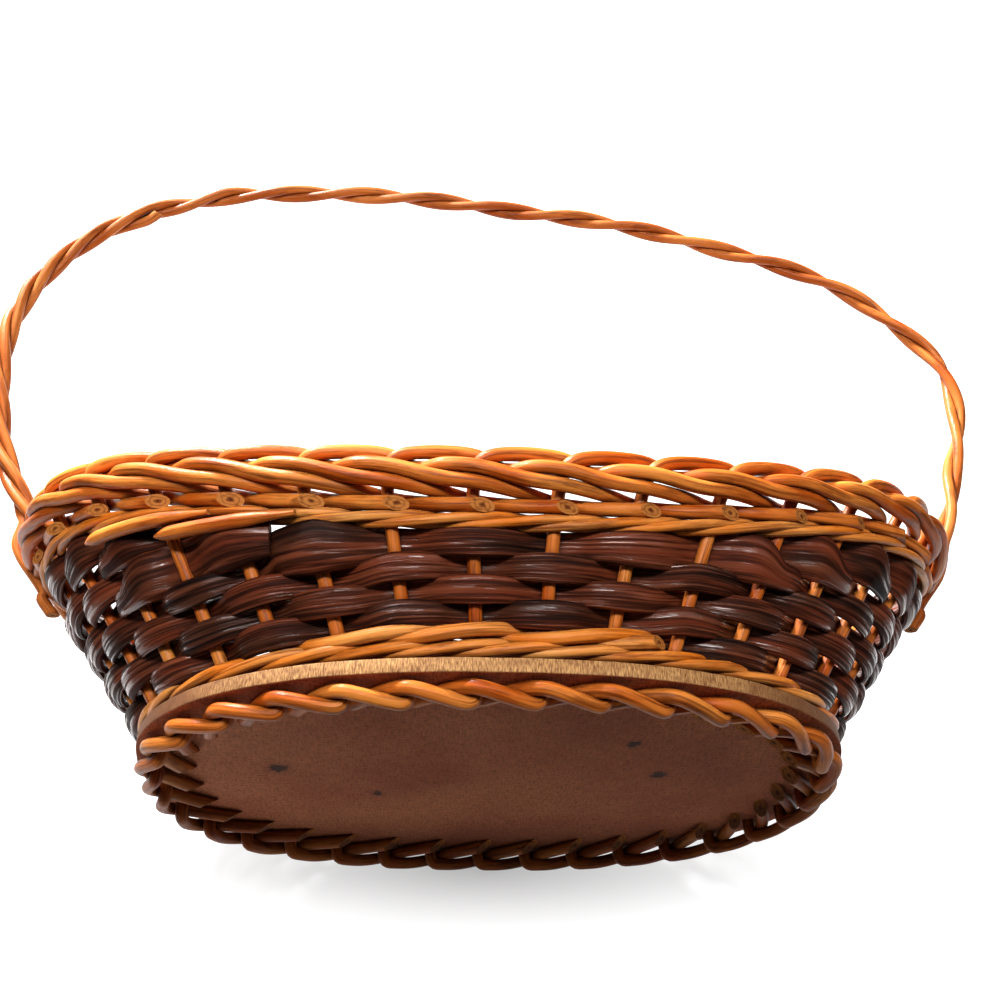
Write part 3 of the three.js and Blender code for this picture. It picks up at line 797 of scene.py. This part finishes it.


# %% [markdown]
# Willow with its bark boiled and stripped is honey coloured. Under the varnish it shows fine streaks along
# the rod, darker patches a few centimetres long, and a small brown mark at each bud. The varnish is a thin
# glossy coat. On the back of the foot, under the board, the coat is left off and the rods are painted
# darker as shade. Streaks and fibres are drawn coarser than real ones, to show.

# %% Varnished willow
def willow(name, pale, deep, shade, streaked, depth):
    material, shader, add = new_material(name)
    straight, tone, turn = rod_coordinates(add)
    patches = grain(add, straight, (90, 90, 26), 3, turn)
    streaks = grain(add, straight, (800, 800, 24), 4, turn)
    fibres = grain(add, straight, (1600, 1600, 260), 3, turn)
    weather = grain(add, straight, (340, 340, 50), 4, turn)
    bud_counts = (150, 150, 26)
    buds = add("ShaderNodeVectorMath", (straight, bud_counts), "MULTIPLY")
    buds = {"Vector": buds, "W": turn, "Scale": 1.0}
    from_bud = add("ShaderNodeTexVoronoi", buds, output="Distance", voronoi_dimensions="4D")
    # Painted shade: the back of the foot under the board is darkened and gets no varnish coat.
    foot_shade_or_strand_wear = painted_foot_shade(add)
    # Painted shade: one layer darkens the places that have another piece close by.
    base = stained(
        add, deep,
        (patches, 0.36, 0.66, 1.0, pale),
        (streaks, 0.49, 0.64, streaked, shade),
        (weather, 0.53, 0.66, 0.65, shade),
        (tone, 0.0, 1.0, 0.4, deep),
        (from_bud, 0.2, 0.07, 0.75, "#3c1608"),
        painted_crevice_shade(add, 0.75),
        (foot_shade_or_strand_wear, 0.0, 1.0, 0.62, FOOT_SHADE_COLOUR),
    )
    height = add("ShaderNodeMath", (streaks, 0.7), "MULTIPLY")
    height = add("ShaderNodeMath", (fibres, 0.5, height), "MULTIPLY_ADD")
    bumps = add("ShaderNodeBump", {"Height": height, "Strength": 0.9, "Distance": depth / 1000})
    fill_inputs(shader, {
        "Base Color": base, "Roughness": 0.5, "Specular IOR Level": 0.12,
        "Coat Weight": add("ShaderNodeMapRange", (foot_shade_or_strand_wear, 1.0, 0.0, 0.0, 0.22)),
        "Coat IOR": 1.4, "Coat Roughness": 0.2, "Normal": bumps, "Coat Normal": bumps,
    })
    return material


thick_willow = willow("thick varnished willow", "#ff9e44", "#c6580f", "#440f00", 0.7, 0.5)
thin_willow = willow("thin varnished willow", "#ffac58", "#f0801e", "#6a1c02", 0.75, 0.4)
handle_willow = willow("handle willow", "#ee8e42", "#bc5a1c", "#6a2408", 0.45, 0.4)
print("varnished willow in three shades")

# %% [markdown]
# The dark strands are split willow stained almost black. The stain wears from black to reddish brown
# along a strand. Dark lines and ridges run along the split face, and the ridges catch the light.

# %% Dark split strands
def dark_strand_material():
    material, shader, add = new_material("dark stained split willow")
    straight, tone, turn = rod_coordinates(add)
    foot_shade_or_strand_wear = grain(add, straight, (60, 120, 14), 3, turn)
    foot_shade_or_strand_wear = add("ShaderNodeMath", (tone, 0.12, foot_shade_or_strand_wear), "MULTIPLY_ADD")
    ridges = grain(add, straight, (620, 620, 12), 2, turn)
    ridges = add("ShaderNodeMapRange", (ridges, 0.36, 0.64))
    lines = grain(add, straight, (1050, 1050, 26), 4, turn)
    lines = add("ShaderNodeMapRange", (lines, 0.42, 0.58))
    # Painted shade: the last layer darkens the places that have another piece close by.
    base = stained(
        add, "#170a08",
        (foot_shade_or_strand_wear, 0.46, 0.62, 1.0, "#74321c"),
        (ridges, 0.0, 1.0, 0.4, "#94502f"),
        (lines, 0.0, 1.0, 0.8, "#0e0403"),
        painted_crevice_shade(add, 0.7),
    )
    crests = add("ShaderNodeMath", (ridges, lines), "SUBTRACT")
    height = add("ShaderNodeMath", (lines, -0.8, ridges), "MULTIPLY_ADD")
    bumps = add("ShaderNodeBump", {"Height": height, "Strength": 1.0, "Distance": 0.00022})
    fill_inputs(shader, {
        "Base Color": base, "Roughness": 0.6, "Specular IOR Level": 0.08,
        "Coat Weight": add("ShaderNodeMapRange", (crests, 0.0, 0.6)),
        "Coat IOR": 1.5, "Coat Roughness": 0.15, "Normal": bumps, "Coat Normal": bumps,
    })
    return material


dark_strand = dark_strand_material()
print("dark split willow")

# %% [markdown]
# Where a rod is cut, its end shows bare wood with faint rings and a brown pith in the middle, dull and a
# little rough. The rings are drawn wider than real ones, to show.

# %% Cut wood at the ends
RING_TURN = 5600  # radians to the metre, which makes a ring every 1.1 mm


def cut_wood(name, wood, pith):
    material, shader, add = new_material(name)
    straight, _, turn = rod_coordinates(add)
    across = add("ShaderNodeVectorMath", (straight, (1, 1, 0)), "MULTIPLY")
    across = add("ShaderNodeVectorMath", [across], "LENGTH", "Value")
    rough = grain(add, straight, (900, 900, 900), 4, turn)
    from_pith = add("ShaderNodeMath", (rough, 0.0008, across), "MULTIPLY_ADD")
    rings = add("ShaderNodeMath", (across, RING_TURN), "MULTIPLY")
    rings = add("ShaderNodeMath", (rough, 9.0, rings), "MULTIPLY_ADD")
    rings = add("ShaderNodeMath", [rings], "SINE")
    # Painted shade: the last layer darkens cut ends on the back of the foot under the board.
    base = stained(
        add, "#8a4818",
        (rough, 0.3, 0.5, 1.0, wood),
        (rings, 0.1, 0.9, 0.5, "#6c3412"),
        (from_pith, 0.0013, 0.0006, 1.0, pith),
        (painted_foot_shade(add), 0.0, 1.0, 0.8, FOOT_SHADE_COLOUR),
    )
    bumps = add("ShaderNodeBump", {"Height": rough, "Strength": 0.8, "Distance": 0.0006})
    fill_inputs(shader, {
        "Base Color": base, "Roughness": 0.7, "Specular IOR Level": 0.1, "Normal": bumps,
    })
    return material


willow_cut = cut_wood("cut willow end", "#c87c3a", "#5a260e")
strand_cut = cut_wood("cut strand end", "#5a3a28", "#2c1a14")
print("cut wood for willow and for the dark strands")

# %% [markdown]
# ## The stakes, plaited foot and plaited rim
#
# Each stake gets a slightly different girth and tone from a fixed seed, so that the plait looks like
# thirty-three rods and not like one rod copied.

# %% A round rod in its place
chance = random.Random(7)


def in_place_of(piece, node):
    """The piece takes the place of a node of the solid model."""
    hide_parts(node)
    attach(piece, "root")


def away_from_middle(point):
    """The level way out of the basket at a point."""
    return unit(point * (1, 2, 0))


def round_rod(made, node, path, diameter, bark, girth=1.0, cuts=None, sides=16, slant=0.5, uneven=0.25):
    """A rod named for how it was made. Girth is its swelling along the path, and 1 is none."""
    facing = facing_along(path, (path[0] + path[-1]) * (1, 1, 0) + (0.1, 0.2, 0.3))
    cuts = cuts or (away_from_middle(path[0]), away_from_middle(path[-1]))
    settings = {
        "Sides": sides, "Width": diameter / 1000, "Thickness": diameter / 1000, "Fullness": 2.0,
        "Unevenness": uneven / 1000, "Ridges": 0.0002, "Cut slant": slant, "Tone": chance.random(),
        "Bark": bark, "Cut wood": willow_cut,
    }
    piece = make_rod(made + "_" + node, path, facing, girth, cuts, settings)
    in_place_of(piece, node)


# %% Make the stakes
STAKE_GIRTH = 5.2
FACING_DOWN = (0, 0, -1)

for i in range(STAKES):
    path = stake_path(i)
    along = np.linspace(0, 1, len(path))
    swell = 1 + 0.03 * math.sin(i * 2.1) + 0.03 * np.sin(along * 17 + i)
    swell += 0.1 * (1 - smoothstep(along, 0.2, 0.26))  # thicker in the foot
    swell += 0.13 * smoothstep(along, 0.46, 0.52) - 0.03 * smoothstep(along, 0.6, 0.8)  # and in the rim
    cuts = (FACING_DOWN, away_from_middle(path[-1]) + (0, 0, -0.25))
    round_rod("willow", "stake_%02d" % (i + 1), path, STAKE_GIRTH, thick_willow, swell, cuts, slant=1.5)
print("made", STAKES, "stakes")

# %% Make the waled bands
LOWER_GIRTH, UPPER_GIRTH, SECOND_GIRTH = 4.5, 3.9, 5.6
THIN_SIDES = 12

for i in range(3):
    for band, base_of, girth in (("lower", lower_band, LOWER_GIRTH), ("upper", upper_band, UPPER_GIRTH)):
        path = wale_path(i, i, i + STAKES - APART, base_of)
        node = "%s_band_rod_%d" % (band, i + 1)
        round_rod("waled", node, path, girth, thin_willow, sides=THIN_SIDES, slant=0.3, uneven=0.12)
for i in range(2):
    path = wale_path(LAYER_START + i, LAYER_START + i, LAYER_END + 0.36, second_layer)
    node = "lower_band_second_rod_%d" % (i + 1)
    round_rod("waled", node, path, SECOND_GIRTH, thin_willow, sides=THIN_SIDES, slant=1.2, uneven=0.12)
print("made the waled bands")

# %% [markdown]
# ## The dark weave
#
# The same tree makes the strands, wide and thin, with a section fuller than an ellipse. The long ones
# follow one another round and round, and the short ones fill the two ends, where the wall is higher.

# %% Make the dark strands
STRAND_GIRTH = (9.3, 3.3)
STRAND_STARTS = [-TAIL, 32, 66, 98, 130, WEAVE_END + APART]


def flat_strand(node, first, last):
    at, out, girth = strand_path(first, last)
    width, thickness = STRAND_GIRTH
    settings = {
        "Sides": 36, "Width": width / 1000, "Thickness": thickness / 1000, "Fullness": 2.3,
        "Unevenness": 0.0006, "Ridges": 0.0016, "Cut slant": 0.15, "Tone": chance.random(),
        "Bark": dark_strand, "Cut wood": strand_cut,
    }
    piece = make_rod("woven_" + node, at, square_to(at, out), girth, (out[0], out[-1]), settings)
    in_place_of(piece, node)


for i, (first, following) in enumerate(zip(STRAND_STARTS, STRAND_STARTS[1:])):
    flat_strand("dark_strand_%d" % (i + 1), first, following - APART)
for (side, number), reach in end_reaches.items():
    flat_strand("%s_end_strand_%d" % (side, number), *reach)
print("made", len(STRAND_STARTS) - 1 + len(end_reaches), "dark strands")

# %% [markdown]
# ## The handle and the finishing rods
#
# The rods of the handle follow their twisted paths. Each finishing rod was pushed in below the rim with
# its point forward, so it starts blunt, is thick for most of its length, and tapers to the other end.

# %% Make the handle and the finishing rods
HANDLE_GIRTH, FINISHING_GIRTH = 5.5, 5.8

for i in range(3):
    node = "handle_strand_%d" % (i + 1)
    round_rod("roped", node, handle_path(i), HANDLE_GIRTH, handle_willow, sides=20, slant=0.8)
for i, row in enumerate(FINISHING):
    path = finishing_path(*row)
    along = np.linspace(0, 1, len(path))
    taper = np.sqrt(smoothstep(along, -0.02, 0.14)) * (1 - 0.6 * smoothstep(along, 0.6, 1))
    node = "rim_finishing_rod_%d" % (i + 1)
    round_rod("pushed_in", node, path, FINISHING_GIRTH, thick_willow, taper, slant=0.3)
print("made the handle and the finishing rods")

# %% [markdown]
# ## The board
#
# The floor is a thin fibreboard with a hole for each stake. Its faces are stained brown, and its sawn edge
# is pale. The underside is painted lighter than the inside face, as painted light, and the back of the
# underside is painted darker as shade. Four dark spots show below. The outline and the holes are
# triangulated together, the sheet is given its thickness, and its edges get a small rounding.

# %% Stained faces
SPOTS = [(-91, -11, 3.2), (-50, 19, 1.8), (57, -44, 2.2), (73, -8, 2.8)]  # middle and radius of each
SPOT_RAGS, SPOT_SQUASH = 0.006, (0.9, 0.75, 0.0)


def board_face():
    material, shader, add = new_material("stained fibreboard face")
    place = add("ShaderNodeTexCoord", output="Object")
    split = add("ShaderNodeSeparateXYZ", [place]).node.outputs
    half_way = board_bottom + BOARD_THICKNESS / 2000
    below = add("ShaderNodeMapRange", (split["Z"], half_way + 0.001, half_way - 0.001))
    cloud = grain(add, place, (14, 14, 14), 4)
    speck = grain(add, place, (700, 700, 700), 4)
    threads = (grain(add, place, (160, 1500, 400), 3), grain(add, place, (1500, 160, 400), 3))
    threads = add("ShaderNodeMath", threads, "ADD")
    rags = grain(add, place, (300, 300, 300), 3)
    halo, mark, painted_back_shade = (add("ShaderNodeMath", (below, share), "MULTIPLY") for share in (0.3, 0.9, 0.72))
    spots = []
    for x, y, radius in SPOTS:
        middle = (origin[0] + x / 1000, origin[1] + y / 1000, 0.0)
        apart = add("ShaderNodeVectorMath", (place, middle), "SUBTRACT")
        apart = add("ShaderNodeVectorMath", (apart, SPOT_SQUASH), "MULTIPLY")
        apart = add("ShaderNodeVectorMath", [apart], "LENGTH", "Value")
        apart = add("ShaderNodeMath", (rags, SPOT_RAGS, apart), "MULTIPLY_ADD")
        reach = radius / 1000
        spots.append((apart, 2.5 * reach + 0.003, reach + 0.002, halo, "#4a2416"))
        spots.append((apart, reach + 0.0038, reach + 0.0024, mark, "#24100a"))
    # Painted light and shade: the last layer keeps the inside face darker than the underside, whose colour
    # is painted lighter, and the layer before it paints shade on the back of the underside.
    base = stained(
        add, "#ba6a4a",
        (cloud, 0.35, 0.65, 1.0, "#da885f"),
        (threads, 0.9, 1.2, 0.5, "#6a3a26"),
        (speck, 0.5, 0.72, 0.6, "#4a2416"),
        *spots,
        (split["Y"], 0.045, 0.1, painted_back_shade, "#38180e"),
        (below, 1.0, 0.0, 0.8, "#54301e"),
    )
    bumps = add("ShaderNodeBump", {"Height": speck, "Strength": 0.5, "Distance": 0.0003})
    fill_inputs(shader, {
        "Base Color": base, "Roughness": 0.75, "Specular IOR Level": 0.12, "Normal": bumps,
    })
    return material


# %% Sawn edge
def board_edge():
    material, shader, add = new_material("sawn fibreboard edge")
    place = add("ShaderNodeTexCoord", output="Object")
    fibres = grain(add, place, (2100, 2100, 420), 5)
    cloud = grain(add, place, (60, 60, 200), 3)
    wander = grain(add, place, (90, 90, 30), 3)
    to_end = add("ShaderNodeSeparateXYZ", [place], output="X")
    to_end = add("ShaderNodeMath", [to_end], "ABSOLUTE")
    to_end = add("ShaderNodeMath", (wander, 0.05, to_end), "MULTIPLY_ADD")
    base = stained(
        add, "#80481a",
        (fibres, 0.36, 0.66, 1.0, "#e6ae6a"),
        (cloud, 0.5, 0.75, 0.6, "#7a4218"),
        (to_end, 0.1, 0.15, 0.85, "#74401c"),
    )
    bumps = add("ShaderNodeBump", {"Height": fibres, "Strength": 0.8, "Distance": 0.0005})
    fill_inputs(shader, {"Base Color": base, "Roughness": 0.7, "Normal": bumps})
    return material


# %% Make the board
EDGE_POINTS, HOLE_POINTS = 420, 24
HOLE_ROOM = 0.55
ROUNDING = 0.0005
STEEP = 0.6  # a face whose normal rises less than this belongs to the edge
SHARP = 1.2  # edges with a greater angle than this are rounded, in radians


def ring(centre, radius, count):
    angles = np.arange(count) * 2 * np.pi / count
    return np.array(centre) + radius * np.stack([np.cos(angles), np.sin(angles)], -1)


def board_sheet():
    """The board as a closed shell with rounded edges, in metres, about the paths' middle."""
    steps = np.arange(EDGE_POINTS)
    wobble = 1 + 0.0012 * np.sin(steps * 0.37) * np.sin(steps * 0.11)  # of a saw held by hand
    loops = [board_oval(steps / EDGE_POINTS) * wobble[:, None]]
    loops += [ring(hole_oval(share_of(i)), STAKE / 2 + HOLE_ROOM, HOLE_POINTS) for i in range(STAKES)]
    bm = bmesh.new()
    edges = []
    for loop in loops:
        verts = [bm.verts.new((x / 1000, y / 1000, underside / 1000)) for x, y in loop]
        edges += [bm.edges.new((a, b)) for a, b in zip(verts, verts[1:] + verts[:1])]
    bmesh.ops.triangle_fill(bm, use_beauty=True, edges=edges)
    sheet = bm.faces[:]
    for face in sheet:
        if face.normal.z > 0:
            face.normal_flip()
    raised = bmesh.ops.extrude_face_region(bm, geom=sheet)
    up = [v for v in raised["geom"] if isinstance(v, bmesh.types.BMVert)]
    bmesh.ops.translate(bm, verts=up, vec=(0, 0, BOARD_THICKNESS / 1000))
    bmesh.ops.recalc_face_normals(bm, faces=bm.faces[:])
    corners = [e for e in bm.edges if len(e.link_faces) == 2 and e.calc_face_angle(0) > SHARP]
    bmesh.ops.bevel(bm, geom=corners, offset=ROUNDING, segments=2, affect="EDGES", profile=0.6)
    return bm


def make_board():
    bm = board_sheet()
    for face in bm.faces:
        face.material_index = 1 if abs(face.normal.z) < STEEP else 0
        face.smooth = abs(face.normal.z) < STEEP
    for vert in bm.verts:
        vert.co += Vector(origin)
    mesh = bpy.data.meshes.new("oval_board")
    bm.to_mesh(mesh)
    bm.free()
    mesh.materials.append(board_face())
    mesh.materials.append(board_edge())
    piece = in_scene("oval_board", mesh)
    in_place_of(piece, "base_board")
    return piece


oval_board = make_board()
print("the board has", len(oval_board.data.polygons), "faces")

# %% [markdown]
# ## Camera
#
# The basket lies on its far side in the photograph, and the camera looks up at it from the front. The
# angles and the distance were found by matching the board, the rim and the stakes.

# %% The camera
FOCAL_PIXELS, PICTURE_PIXELS, SENSOR = 1129.35, 1000, 36
EYE = (-24.54, -480.28, -161.84)  # from the ground under the board's middle
TURN = (-0.585755, -0.010054, 0.062482)


def place_camera():
    about_x, about_y, about_z = (Matrix.Rotation(angle, 3, axis) for angle, axis in zip(TURN, "XYZ"))
    right, ahead, up = about_y @ about_x @ about_z
    camera = in_scene("camera", bpy.data.cameras.new("camera"))
    camera.data.lens = FOCAL_PIXELS / PICTURE_PIXELS * SENSOR
    camera.data.sensor_width = SENSOR
    camera.data.sensor_fit = "HORIZONTAL"
    camera.data.clip_start = 0.01
    matrix = Matrix((right, up, -ahead)).transposed().to_4x4()
    matrix.translation = Vector((origin[0], origin[1], 0)) + Vector(EYE) / 1000
    camera.matrix_world = matrix
    bpy.context.scene.camera = camera
    return camera


camera = place_camera()
print("the camera is", round(camera.location.length, 2), "m from the ground's middle")

# %% [markdown]
# ## Floor and light
#
# The floor is a sheet of white paper that touches the basket's far side, where the plaited foot and the rim
# lie on it. It is only as wide as the camera sees. The back of the sheet is clear, so that it doesn't hide
# the basket from other sides. The camera and mirror rays see it nearly white by its own glow. The glow is
# weaker near the basket, so that the shadow stays, and it doesn't light the basket.

# %% The paper
SHEET = ((-0.42, -0.2), (0.45, -0.2), (1.35, 2.5), (-1.15, 2.5))  # corners, across and up, in metres
PAPER = (0.36, 0.36, 0.36, 1)
GLOW_NEAR, GLOW_GAIN, SHADOW_REACH = 0.42, 0.56, 0.062


def paper(centre):
    material, shader, add = new_material("white paper floor")
    place = add("ShaderNodeTexCoord", output="Object")
    apart = add("ShaderNodeVectorMath", (place, tuple(centre)), "SUBTRACT")
    apart = add("ShaderNodeVectorMath", (apart, (0.36, 1.0, 1.0)), "MULTIPLY")
    apart = add("ShaderNodeVectorMath", [apart], "LENGTH", "Value")
    glow = add("ShaderNodeMapRange", (apart, 0.0, SHADOW_REACH))
    glow = add("ShaderNodeMath", (glow, GLOW_GAIN, GLOW_NEAR), "MULTIPLY_ADD")
    rays = add("ShaderNodeLightPath").node.outputs
    through = (rays["Is Glossy Ray"], rays["Is Transmission Ray"])
    seen = add("ShaderNodeMath", through, "MAXIMUM")
    seen = add("ShaderNodeMath", (rays["Is Camera Ray"], seen), "MAXIMUM")
    fill_inputs(shader, {
        "Base Color": PAPER, "Roughness": 1.0, "Specular IOR Level": 0.0, "Emission Color": (1, 1, 1, 1),
        "Emission Strength": add("ShaderNodeMath", (seen, glow), "MULTIPLY"),
    })
    behind = add("ShaderNodeNewGeometry", output="Backfacing")
    clear = add("ShaderNodeBsdfTransparent")
    surface = add("ShaderNodeMixShader", (behind, shader.outputs[0], clear))
    fill_inputs(material.node_tree.nodes["Material Output"], {"Surface": surface})
    return material


# %% The floor
FOOT_OUT, FOOT_DOWN = 1.25 * rod_step + 2.6, 1.15 * rod_step  # from the holes to the foot's outer rods
RIM_ROOM = 0.5


def make_floor():
    """A sheet that leans on the foot and on the rim at the back, and the way up along it."""
    foot_y = on_foot(np.array(back_middle), FOOT_OUT, 0.0)[1]
    rim_point = on_wall(back_middle, wall_length(back_middle), rim_outside + RIM_ROOM)[0]
    low_point = np.array([0, foot_y, underside - FOOT_DOWN])
    along = unit(rim_point - low_point)
    along[0] = 0
    centre = low_point / 1000 + origin
    corners = [centre + np.array([1.0, 0, 0]) * across + along * up for across, up in SHEET]
    mesh = bpy.data.meshes.new("floor")
    mesh.from_pydata([tuple(corner) for corner in corners], [], [(0, 1, 2, 3)])
    mesh.materials.append(paper(centre))
    piece = in_scene("floor", mesh)
    return Vector(along)


floor_up = make_floor()
floor_normal = Vector((1, 0, 0)).cross(floor_up)
print("the floor faces", tuple(round(v, 2) for v in floor_normal))

# %% [markdown]
# A strong small light stands high on the left and gives the shadow and the highlights. A large weak one
# softens the right side. A long low one in front draws a glossy line along each rod, as a window would.

# %% Light
MIDDLE = Vector((0, 0, 0.12))
WORLD_LIGHT = 0.075


def area_light(name, place, width, height, power):
    """A round or oval light that faces the middle of the basket."""
    light = bpy.data.lights.new(name, "AREA")
    light.shape = "ELLIPSE"
    light.size = width
    light.size_y = height
    light.energy = power
    lamp = in_scene(name, light)
    lamp.location = place
    lamp.rotation_euler = (MIDDLE - place).to_track_quat("-Z", "Y").to_euler()


area_light("key", MIDDLE + floor_normal * 1.9 + floor_up * 2.2 + Vector((-1.3, 0, 0)), 0.8, 0.8, 400)
area_light("fill", MIDDLE + floor_normal * 2.4 - floor_up * 0.4 + Vector((1.8, 0, 0)), 2.0, 2.0, 6)
area_light("window", MIDDLE + Vector((-0.2, -1.7, 0.0)), 1.7, 0.25, 25)

world = bpy.data.worlds.new("studio")
bpy.context.scene.world = world
world.use_nodes = True
background = world.node_tree.nodes["Background"]
fill_inputs(background, {"Color": (1, 1, 1, 1), "Strength": WORLD_LIGHT})
bpy.context.scene.view_settings.view_transform = "Standard"
print("placed three lights")
